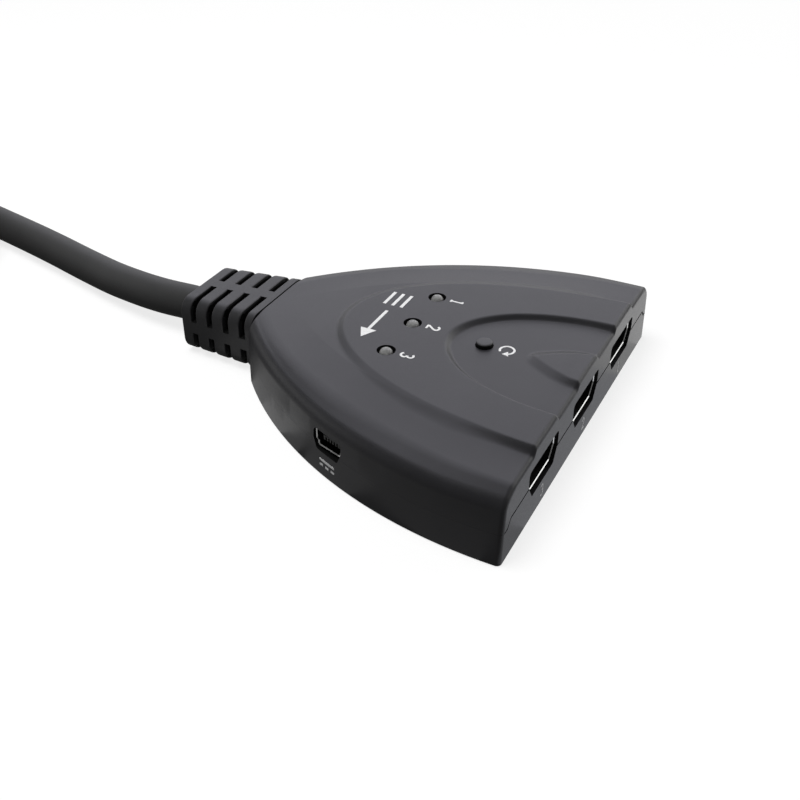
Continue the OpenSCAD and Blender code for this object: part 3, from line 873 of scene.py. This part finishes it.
leds = []
for i, p in enumerate(LEDS):
    prof = [(0, 11.0), (1.8, 11.0), (1.9, 11.1), (1.9, 11.9), (1.8, 12.0), (1.49, 12.0), (1.49, 14.2)]
    prof += [(1.49 * math.cos(a), 16.06 + 1.49 * math.sin(a)) for a in np.linspace(0, math.pi / 2, 15)[:-1]]
    prof += [(0, 17.55)]
    v, f = lathe(prof, at_front((*p, 0))[:2], 48)
    leds.append(mesh_object(f"led{i}", v, f))
led_piece = finish_mesh(join_meshes("led_domes", leds), 40)
piece(led_piece, "resin", replaces=("indicator_leds",))

prof = [(0, 10.2), (1.3, 10.2), (1.4, 10.3), (1.4, 11.9), (3.0, 11.9), (3.1, 12.0), (3.1, 12.8), (3.0, 12.9), (1.84, 12.9)]
prof += [(1.84, z) for z in (14.0, 15.2, 16.0)]
prof += [(1.84 - 0.48 + 0.48 * math.cos(a), 16.44 + 0.48 * math.sin(a)) for a in np.linspace(0, math.pi / 2, 11)]
prof += [(0.9, 16.94), (0.5, 16.95), (0, 16.95)]
v, f = lathe(prof, at_front((*BUTTON, 0))[:2], 72)
button = finish_mesh(mesh_object("select_cap", v, f), 40)
piece(button, "button", body="button", replaces=("select_button",))
# painted shade on the cap's sides below its rounded top
paint(button, "recess", lambda c, n: c[2] < 16.75 and n[2] < 0.6)

# ------------------------------------------------------------------ sockets


def sheet_shell(name, outer, inner, y0, y1, place, lip=0.07):
    """Drawn metal shell with a rounded lip."""
    o, i = np.asarray(outer), np.asarray(inner)
    near_o, near_i = o + (i - o) * 0.22, o + (i - o) * 0.45
    rings = [xz_ring(o, y1), xz_ring(o, (y0 + y1) / 2), xz_ring(o, y0 + lip), xz_ring(near_o, y0), xz_ring(near_i, y0),
             xz_ring(i, y0 + 2.3 * lip), xz_ring(i, (y0 + y1) / 2), xz_ring(i, y1)]
    return ring_loop(name, [place(r) for r in rings])


def inside_shell(place, y0):
    """Test for the inner faces of a shell, past its lip, which get painted shade."""
    o, d = (place(np.array(q, float)) for q in ((0.0, 0.0, 0.0), (0.0, 1.0, 0.0)))
    d = d - o
    o = o - (0.0, FRONT, 0.0)

    def test(c, n):
        q = c - o
        depth = q @ d
        return depth > y0 + 0.3 and n @ (q - depth * d) < 0

    return test


for n, x in enumerate(PORT_X, 1):
    place = port_place(x - 0.2)
    outer = fillet(dee(7.5, 2.625, -2.625, 0.05, 5.3), (0.45, 0.7, 0.9, 0.9, 0.7, 0.45), 8)
    inner = fillet(dee(7.22, 2.345, -2.345, 0.2, 5.12), (0.25, 0.45, 0.6, 0.6, 0.45, 0.25), 8)
    shell = sheet_shell(f"socket_shell_{n}", outer, inner, 0.65, 12.0, place)
    springs = []
    for s in (-1, 1):
        springs.append(box(f"spring_gap{s}", *[place(np.array(q, float)) for q in ((s * 3.2 - 0.9, 3.0, 1.5), (s * 3.2 + 0.9, 8.0, 3.5))]))
    boolean(shell, join_meshes("spring_gaps", springs), "DIFFERENCE")
    legs = [box(f"leg{s}{y}", *[place(np.array(q, float)) for q in ((s * 7.2 - 0.2, y, 5.9 - PORT_Z), (s * 7.2 + 0.2, y + 1.4, 0.05))])
            for s in (-1, 1) for y in (3.4, 9.0)]
    boolean(shell, join_meshes("legs", legs), "UNION")
    finish_mesh(shell, 40)
    piece(shell, "nickel", replaces=(f"input_shell_{n}",))
    # painted shade on the shell's inner faces
    paint(shell, "shade", inside_shell(place, 0.65))


def mini(w, t, b, s, bw):
    """Outline of the side socket: half width, top, bottom, height of the shoulder, half width below it."""
    return [(-w, t), (-w, s), (-bw, s - 0.4), (-bw, b), (bw, b), (bw, s - 0.4), (w, s), (w, t)]


radii = (0.4, 0.3, 0.25, 0.45, 0.45, 0.25, 0.3, 0.4)
outer = fillet(mini(3.85, 1.98, -1.98, -0.55, 3.3), radii, 6)
inner = fillet(mini(3.6, 1.73, -1.73, -0.45, 3.05), radii, 6)
shell = sheet_shell("side_socket_shell", outer, inner, 0.9, 9.4, in_power)
legs = [prism(f"side_leg{s}{y}", [(s * 3.7 - 0.15, 5.9 - 8.7), (s * 3.7 + 0.15, 5.9 - 8.7), (s * 3.7 + 0.15, 0.2), (s * 3.7 - 0.15, 0.2)], y, y + 1.2, in_power)
        for s in (-1, 1) for y in (4.4, 7.4)]
boolean(shell, join_meshes("side_legs", legs), "UNION")
finish_mesh(shell, 40)
piece(shell, "nickel", replaces=("power_shell",))
# painted shade on the shell's inner faces
paint(shell, "shade", inside_shell(in_power, 0.9))

rings = []
for y, inset in ((1.6, 0.14), (1.64, 0.05), (1.74, 0.0), (4.5, 0.0), (7.5, 0.0)):
    rings.append(in_power(xz_ring(fillet([(-2.5 + inset, -0.7 + inset), (2.5 - inset, -0.7 + inset), (2.5 - inset, 0.6 - inset), (-2.5 + inset, 0.6 - inset)], 0.15, 3), y)))
tongue = loft("side_tongue", rings)
grooves = [prism(f"groove{i}", [(0.8 * i - 0.2, -1.0), (0.8 * i + 0.2, -1.0), (0.8 * i + 0.2, 0.25), (0.8 * i - 0.2, 0.25)], 1.0, 2.1, in_power) for i in range(-2, 3)]
boolean(tongue, join_meshes("grooves", grooves), "DIFFERENCE")
block = prism("side_block", fillet(mini(3.5, 1.63, -1.63, -0.4, 2.95), 0.2, 3), 7.4, 8.9, in_power)
boolean(tongue, block, "UNION")
finish_mesh(tongue, 40)
piece(tongue, "tongue", replaces=("power_insulator",))
def shaded_tongue_faces(c, n):
    q = c + (0.0, FRONT, 0.0)
    o, u, v = (in_power(np.array(k, float)) for k in ((0.0, 0.0, 0.0), (1.0, 0.0, 0.0), (0.0, 1.0, 0.0)))
    x, y = (q - o) @ (u - o), (q - o) @ (v - o)
    return (1.62 < y < 2.11 and any(abs(x - 0.8 * i) < 0.22 for i in range(-2, 3))) or y > 3.5


# painted shade: black in the tongue's grooves and on its deep rear part
paint(tongue, "black", shaded_tongue_faces)

# ------------------------------------------------------------------ print


def ribbon(name, line, width, place, closed=False, up=0.025, down=0.12):
    """A printed stroke along a line, place takes (along the reading, up the reading, out of the surface)."""
    p = np.array(line, float)
    if closed:
        d = np.roll(p, -1, 0) - np.roll(p, 1, 0)
    else:
        d = np.gradient(p, axis=0)
    d /= np.linalg.norm(d, axis=1)[:, None]
    side = np.column_stack([-d[:, 1], d[:, 0]]) * width / 2
    rings = []
    for q, h in zip(p, side):
        ring = [(*(q + h), up), (*(q - h), up), (*(q - h), -down), (*(q + h), -down)]
        rings.append([place(np.array(r, float)) for r in ring])
    return ring_loop(name, rings) if closed else loft(name, rings)


def arc(cx, cy, r, a0, a1, n=16):
    return [(cx + r * math.cos(math.radians(a)), cy + r * math.sin(math.radians(a))) for a in np.linspace(a0, a1, n)]


def straight(p, q, n=6):
    return [tuple(np.array(p, float) + (np.array(q, float) - p) * t) for t in np.linspace(0, 1, n)]


def wedge(name, pts, place, up=0.03, down=0.12):
    """A filled printed shape."""
    return loft(name, [[place(np.array((*q, h), float)) for q in pts] for h in (-down, up)])


def digit(n):
    """Strokes of a numeral 3 mm tall."""
    if n == 1:
        return [straight((0.06, -1.5), (0.06, 1.5)), straight((-0.42, 1.1), (0.06, 1.42), 3), straight((-0.42, -1.4), (0.54, -1.4), 3)]
    if n == 2:
        return [arc(0.0, 0.74, 0.72, 170, -25) + straight((0.52, 0.2), (-0.66, -1.3)), straight((-0.8, -1.36), (0.8, -1.36), 4)]
    return [arc(-0.06, 0.72, 0.66, 150, -85), arc(-0.06, -0.68, 0.76, 85, -150)]


def top_place(x0, y0, size=1.0):
    def place(q):
        x, y = x0 - size * q[0], y0 - size * q[1]
        return np.array([x, y + FRONT, float(relief(np.float64(x), np.float64(y))) + q[2]])
    return place


def front_place(x0, z0, size=1.0):
    return lambda q: np.array([x0 + size * q[0], FRONT - q[2], z0 + size * q[1]])


def side_place(z0):
    return lambda q: power_place(np.array([q[0], 0.07 + q[0] ** 2 / (2 * R) - q[2], z0 - 8.7 + q[1]]))


marks = []
for n, x in ((1, 12.7), (2, 0.0), (3, -12.7)):
    marks += [ribbon(f"mark{n}{i}", line, 0.5, top_place(x, 35.5), up=0.025 + 0.004 * i) for i, line in enumerate(digit(n))]
for n, x in zip((1, 2, 3), PORT_X):
    marks += [ribbon(f"label{n}{i}", line, 0.45, front_place(x, 2.9, 0.9), up=0.02 + 0.004 * i) for i, line in enumerate(digit(n))]
join_lines = top_place(-0.4, 47.9)
marks += [ribbon(f"input_bar{i}", straight((-11.0, 2.1 * i), (-5.2, 2.1 * i)), 0.75, join_lines) for i in (-1, 0, 1)]
marks.append(ribbon("output_line", straight((-2.6, 0), (6.4, 0)), 0.75, join_lines))
marks.append(wedge("output_head", [(6.2, 1.9), (6.2, -1.9), (9.8, 0.0)], join_lines))
cycle = top_place(0.2, 18.2)
marks.append(ribbon("cycle_ring", arc(0, 0, 1.55, 30, 310, 40), 0.5, cycle))
tip = np.array((1.55 * math.cos(math.radians(30)), 1.55 * math.sin(math.radians(30))))
along, out = np.array((math.sin(math.radians(22)), -math.cos(math.radians(22)))), np.array((math.cos(math.radians(22)), math.sin(math.radians(22))))
marks.append(wedge("cycle_head", [tip - 0.95 * out, tip + 1.35 * along, tip + 0.95 * out], cycle))
supply = side_place(3.3)
marks.append(ribbon("supply_line", straight((-2.4, 0.6), (2.4, 0.6)), 0.55, supply))
marks += [ribbon(f"supply_dash{i}", straight((-2.4 + 1.85 * i, -0.65), (-1.3 + 1.85 * i, -0.65), 3), 0.55, supply) for i in range(3)]
printing = finish_mesh(join_meshes("printed_marks", marks), 30, weighted=False)
piece(printing, "print")

# ------------------------------------------------------------------ tie and plug

TIE = (COIL_C[0], COIL_C[1] + COIL_R)


def tie_outline(inset):
    pts = [(-5.65 + inset, inset), (5.65 - inset, inset), (5.65 - inset, 19.0 - inset), (-5.65 + inset, 19.0 - inset)]
    return fillet(pts, max(0.3, 2.4 - inset), 8)


rings = []
for x, inset in ((-5.7, 0.0), (0.0, 0.0), (5.7, 0.0), (5.95, 0.12), (6.0, 0.4), (5.95, 0.68), (5.7, 0.8), (0.0, 0.8), (-5.7, 0.8), (-5.95, 0.68), (-6.0, 0.4), (-5.95, 0.12)):
    o = tie_outline(inset)
    rings.append(np.column_stack([np.full(len(o), TIE[0] + x), TIE[1] + o[:, 0], o[:, 1]]))
strap = ring_loop("strap", rings)
rings = []
for z, inset in ((4.0, 0.3), (4.2, 0.1), (4.6, 0.0), (9.5, 0.0), (14.6, 0.0), (15.0, 0.1), (15.2, 0.3)):
    o = fillet([(-5.8 + inset, -6.35 + inset), (5.8 - inset, -6.35 + inset), (5.8 - inset, -5.6), (-5.8 + inset, -5.6)], 0.2, 3)
    rings.append(np.column_stack([TIE[0] + o[:, 0], TIE[1] + o[:, 1], np.full(len(o), z)]))
flap = loft("strap_end", rings)
tie = finish_mesh(join_meshes("coil_strap", [strap, flap]), 40)
piece(tie, "tie", replaces=("coil_tie",))


def plug_place(p):
    """From the plug's own frame (y from the lead to the tip) to the part's."""
    p = np.asarray(p, float)
    return np.stack([-69.4 - p[..., 0], 118.0 - p[..., 1], 6.2 + p[..., 2]], -1)


def slab(w, h, r):
    return fillet([(-w, -h), (w, -h), (w, h), (-w, h)], r, 8)


rings = [plug_place(xz_ring(slab(w, h, 2.4), y)) for y, w, h in ((16.0, 8.6, 4.6), (16.2, 9.2, 5.0), (16.8, 9.9, 5.5), (17.6, 10.2, 5.8))]
for i in range(6):
    s = 20.0 + 2.2 * i
    rings += [plug_place(xz_ring(slab(w, 5.8, 2.4), y)) for y, w in ((s, 10.2), (s + 0.12, 10.05), (s + 0.25, 9.75), (s + 0.95, 9.75), (s + 1.08, 10.05), (s + 1.2, 10.2))]
rings += [plug_place(xz_ring(slab(w, h, min(2.4, h / 2)), y)) for y, w, h in ((39.2, 10.2, 5.8), (39.7, 10.05, 5.65), (40.0, 9.7, 5.3), (40.02, 9.2, 4.8), (41.6, 9.2, 4.8), (41.9, 9.05, 4.65), (42.0, 8.8, 4.4))]
grip = loft("plug_grip", rings)
for s in (-1, 1):
    o = fillet([(-5.5, 22.0), (5.5, 22.0), (7.0, 34.5), (-7.0, 34.5)], 1.6, 8)
    pad = loft(f"pad{s}", [plug_place(np.column_stack([o, np.full(len(o), z)])) for z in sorted((s * 5.55, s * 7.0))])
    boolean(grip, pad, "DIFFERENCE")
finish_mesh(grip, 35)
piece(grip, "plug", replaces=("plug_housing",))

rings = []


def collar(y, r):
    a = np.linspace(0, 2 * math.pi, 48, endpoint=False)
    rings.append(plug_place(xz_ring(np.column_stack([r * np.cos(a), r * np.sin(a)]), y)))


for i in range(4):
    r, y = 5.0 + 0.2 * i, 4.0 * i
    for dy, dr in ((0.0, 0.35), (0.06, 0.14), (0.2, 0.03), (0.4, 0.0), (2.0, 0.0), (2.2, 0.03), (2.34, 0.14), (2.4, 0.35)):
        collar(y + dy, r - dr)
    collar(y + 2.45, 4.6)
    collar(y + (3.95 if i < 3 else 4.0), 4.6)
sleeve = finish_mesh(loft("plug_sleeve", rings), 40)
piece(sleeve, "boot", replaces=("plug_boot",))

outer = fillet(dee(6.95, 2.225, -2.225, 0.2, 4.9), (0.45, 0.6, 0.8, 0.8, 0.6, 0.45), 8)
inner = fillet(dee(6.65, 1.925, -1.925, 0.3, 4.75), (0.25, 0.4, 0.6, 0.6, 0.4, 0.25), 8)
nose = sheet_shell("plug_nose", outer, inner, 53.5, 42.0, plug_place, -0.07)
windows = []
for s in (-1, 1):
    o = fillet([(s * 3.0 - 0.9, 46.0), (s * 3.0 + 0.9, 46.0), (s * 3.0 + 0.9, 48.4), (s * 3.0 - 0.9, 48.4)], 0.25, 4)
    windows.append(loft(f"window{s}", [plug_place(np.column_stack([o, np.full(len(o), z)])) for z in (2.0, 3.0)]))
boolean(nose, join_meshes("windows", windows), "DIFFERENCE")
finish_mesh(nose, 40)
piece(nose, "nickel", replaces=("plug_shell",))

# ------------------------------------------------------------------ spring dome of the switch

prof = [(4.05 * math.sin(a), 3.2 + 4.05 * math.cos(a)) for a in np.linspace(0, math.acos(3.5 / 4.05), 16)]
prof += [(2.2, 6.7)] + [(4.2 * math.sin(a), 3.2 + 4.2 * math.cos(a)) for a in np.linspace(math.asin(2.2 / 4.2), 0, 16)]
v, f = lathe(prof, at_front((*BUTTON, 0))[:2], 48)
dome = finish_mesh(mesh_object("spring_dome", v, f), 30, weighted=False)
piece(dome, "tin", replaces=("tact_dome",))
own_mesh(dome)

# ------------------------------------------------------------------ kept pieces

KEEP = {
    "case_screws": "steel", "main_board": "board", "switch_chip": "chip", "regulator": "chip", "crystal": "tin",
    "chip_leads": "tin", "led_leads": "tin", "tact_frame": "tin", "board_passives": "ceramic",
    "tact_base": "black", "tact_plunger": "black", "inner_wires": "wire", "cable_core": "cable",
    "input_tongue_1": "black", "input_tongue_2": "black", "input_tongue_3": "black",
    "input_contacts_1": "gold", "input_contacts_2": "gold", "input_contacts_3": "gold", "power_contacts": "gold",
    "plug_contacts": "gold", "plug_insert": "black",
}
for name, mat in KEEP.items():
    me = NODES[name].data
    me.materials.clear()
    me.materials.append(MAT[mat])

# ------------------------------------------------------------------ stage and light

floor_mat, nt, bsdf = nodes_of("floor")
bsdf.inputs["Base Color"].default_value = (0.25, 0.25, 0.25, 1)
bsdf.inputs["Roughness"].default_value = 0.9
bsdf.inputs["Specular IOR Level"].default_value = 0.0
bsdf.inputs["Emission Color"].default_value = (1, 1, 1, 1)
bsdf.inputs["Emission Strength"].default_value = 0.785
me = bpy.data.meshes.new("floor")
me.from_pydata([(-6, -6, 0), (6, -6, 0), (6, 6, 0), (-6, 6, 0)], [], [(0, 1, 2, 3)])
floor = new_object("floor", me)
floor.location.z = -0.0002
me.materials.append(floor_mat)
floor.visible_diffuse = False
floor.visible_glossy = False
# a pale backdrop all round, far behind the lights, for the low views
n = 64
me = bpy.data.meshes.new("backdrop")
me.from_pydata([(5.9 * math.cos(2 * math.pi * i / n), 5.9 * math.sin(2 * math.pi * i / n), z) for z in (-0.01, 5.0) for i in range(n)],
               [], [(i, (i + 1) % n, n + (i + 1) % n, n + i) for i in range(n)])
backdrop = new_object("backdrop", me)
backdrop_mat = floor_mat.copy()
backdrop_mat.name = "backdrop"
backdrop_mat.cycles.emission_sampling = "NONE"
me.materials.append(backdrop_mat)
backdrop.visible_diffuse = False
backdrop.visible_glossy = False
backdrop.visible_shadow = False

world = bpy.data.worlds.new("studio")
scene.world = world
world.use_nodes = True
bg = world.node_tree.nodes["Background"]
bg.inputs["Color"].default_value = (1, 1, 1, 1)
bg.inputs["Strength"].default_value = 0.125


def softbox(name, azimuth, elevation, distance, size, power, colour=(1, 1, 1), target=(0, 0, 0.01)):
    """A rectangular light that looks at the object. Azimuth 0 is +X and 90 is +Y."""
    data = bpy.data.lights.new(name, "AREA")
    data.shape = "RECTANGLE"
    data.size, data.size_y = size
    data.energy = power
    data.color = colour
    obj = bpy.data.objects.new(name, data)
    scene.collection.objects.link(obj)
    a, e = math.radians(azimuth), math.radians(elevation)
    off = Vector((math.cos(a) * math.cos(e), math.sin(a) * math.cos(e), math.sin(e))) * distance
    obj.location = Vector(target) + off
    obj.rotation_euler = (-off).to_track_quat("-Z", "Y").to_euler()
    return obj


def bounce(name, centre, size, power, turn=0.0, colour=(1, 1, 1)):
    """Light thrown up by a bright part of the floor, unseen itself."""
    data = bpy.data.lights.new(name, "AREA")
    data.shape = "RECTANGLE"
    data.size, data.size_y = size
    data.energy = power
    data.color = colour
    obj = bpy.data.objects.new(name, data)
    scene.collection.objects.link(obj)
    obj.location = (*centre, 0.0001)
    obj.rotation_euler = (math.pi, 0.0, math.radians(turn))
    obj.visible_camera = False
    obj.visible_diffuse = False
    return obj


back = softbox("back", 24.0, 43.0, 1.1, (1.4, 1.33), 7.6, (0.98, 0.975, 1.08))
back.visible_diffuse = False
horizon = softbox("horizon", 25.0, 3.0, 1.1, (1.6, 0.5), 1.55)
horizon.visible_diffuse = False
left = softbox("left", 99.0, 14.0, 1.0, (0.7, 0.5), 0.78)
left.visible_diffuse = False
softbox("right", -35.0, 20.0, 0.9, (1.0, 0.5), 2.4)
fill = softbox("fill", 126.0, 75.0, 0.9, (0.55, 0.55), 7.2)
fill.visible_glossy = False
bounce("front_bounce", (-0.0040, -0.0665), (0.060, 0.037), 0.0042, colour=(0.97, 0.99, 1.05))
bounce("turn_bounce", (0.0335, -0.0690), (0.015, 0.044), 0.00172)
bounce("near_bounce", (-0.0405, -0.0665), (0.013, 0.037), 0.00058, colour=(0.97, 0.99, 1.05))
bounce("far_bounce", (0.0705, -0.0720), (0.059, 0.050), 0.0119)
bounce("rear_bounce", (-0.0275, 0.0265), (0.025, 0.033), 0.00112)
bounce("long_bounce", (-0.044, 0.0685), (0.024, 0.050), 0.0010)
bounce("outer_bounce", (-0.058, 0.0260), (0.024, 0.034), 0.00045)
bounce("side_bounce", (-0.029, 0.0145), (0.018, 0.016), 0.00020, 30.0)
bounce("mid_bounce", (-0.056, -0.018), (0.022, 0.052), 0.00046)
bounce("socket_bounce", (-0.0425, 0.000), (0.016, 0.026), 0.00022, 20.0)

scene.view_settings.view_transform = "Standard"
scene.view_settings.look = "None"
